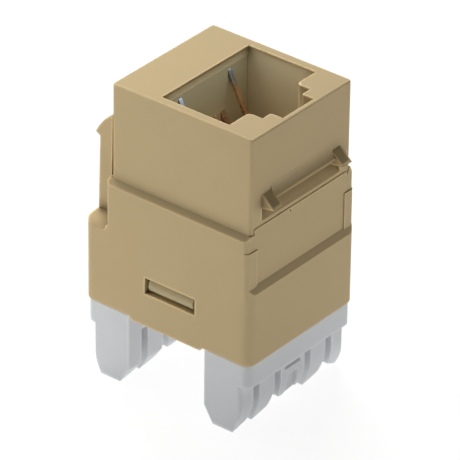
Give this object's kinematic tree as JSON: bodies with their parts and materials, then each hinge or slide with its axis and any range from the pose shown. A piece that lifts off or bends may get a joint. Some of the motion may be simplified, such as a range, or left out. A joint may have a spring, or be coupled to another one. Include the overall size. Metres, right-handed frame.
{
  "type": "keystone jack",
  "caption": "Snap-in modular network jack: plug socket with sprung contacts in front, wire termination towers behind.",
  "frame": {"origin": "centre of the outline seen from the front, on the plane of the terminal tower tips", "axes": "+Z out of the front face, against the way a plug goes in; +X from the flexible latch arm to the fixed catch; +Y along the row of contacts"},
  "size_m": [0.0208, 0.0156, 0.0313],
  "materials": {
    "housing_plastic": "moulded ivory tan plastic, fine satin texture",
    "carrier_plastic": "moulded tan plastic, a little darker than the housing",
    "block_plastic": "moulded white polycarbonate, satin",
    "board": "green solder resist",
    "contact_metal": "gold plated phosphor bronze strip",
    "terminal_metal": "tin plated bronze blade"
  },
  "bodies": {
    "root": {"housing": "housing_plastic", "contact_carrier": "carrier_plastic", "circuit_board": "board", "terminal_block": "block_plastic", "contact_1": "contact_metal", "contact_2": "contact_metal", "contact_3": "contact_metal", "contact_4": "contact_metal", "contact_5": "contact_metal", "contact_6": "contact_metal", "contact_7": "contact_metal", "contact_8": "contact_metal", "terminal_1": "terminal_metal", "terminal_2": "terminal_metal", "terminal_3": "terminal_metal", "terminal_4": "terminal_metal", "terminal_5": "terminal_metal", "terminal_6": "terminal_metal", "terminal_7": "terminal_metal", "terminal_8": "terminal_metal"}
  },
  "joints": []
}
